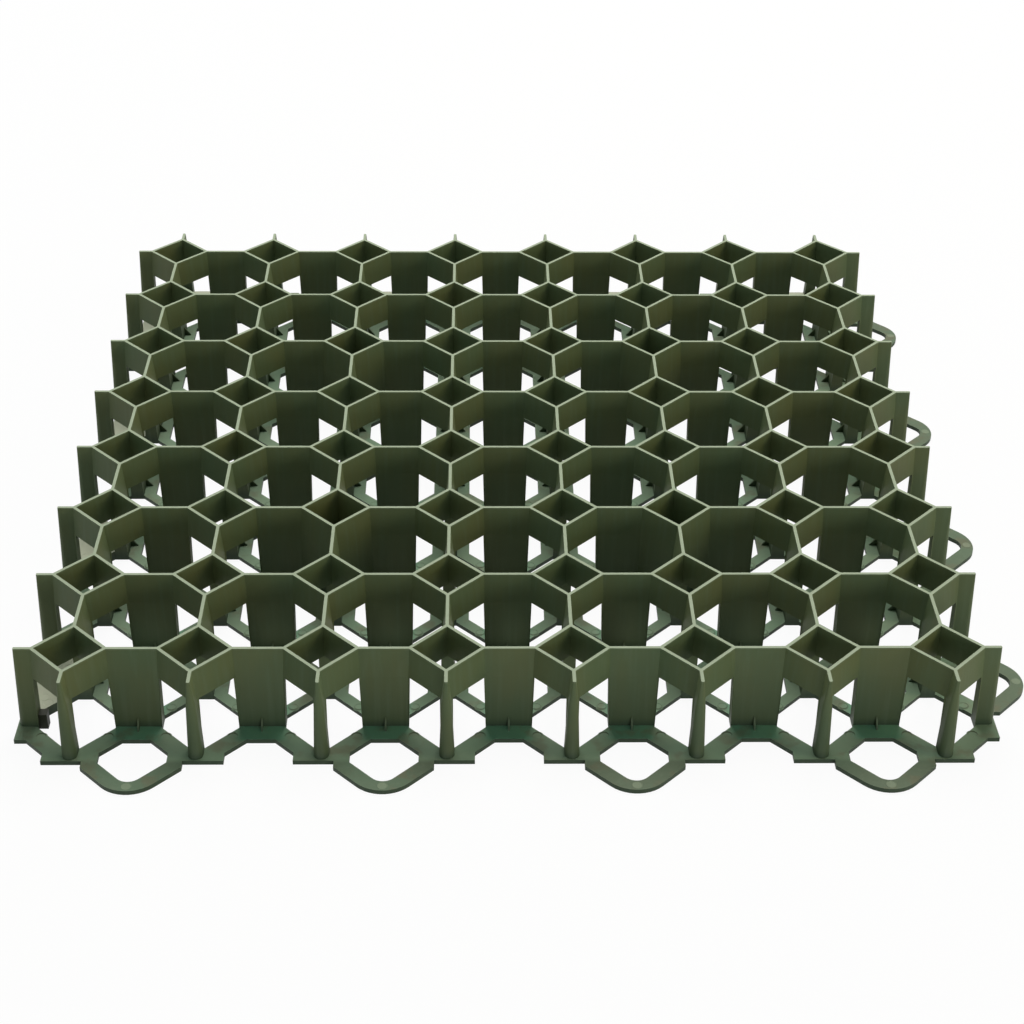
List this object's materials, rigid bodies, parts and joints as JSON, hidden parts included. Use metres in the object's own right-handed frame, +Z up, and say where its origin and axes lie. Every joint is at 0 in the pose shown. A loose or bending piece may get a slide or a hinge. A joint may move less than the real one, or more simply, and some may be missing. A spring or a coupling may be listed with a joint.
{
  "type": "grass paver grid",
  "caption": "Square plastic grass paver grid: open lattice of eight-sided cells and cornerwise square tubes on a pierced base, with joining loops on two edges.",
  "frame": {"origin": "middle of the part's outer box, loops included, on the ground under the base", "axes": "+Z up out of the ground, +X to the right edge with loops, -Y to the front edge with loops"},
  "size_m": [0.5199, 0.5199, 0.05],
  "materials": {
    "recycled_plastic": "semi-matte moulded recycled plastic"
  },
  "bodies": {
    "root": {"paver_grid": "recycled_plastic"}
  },
  "joints": []
}
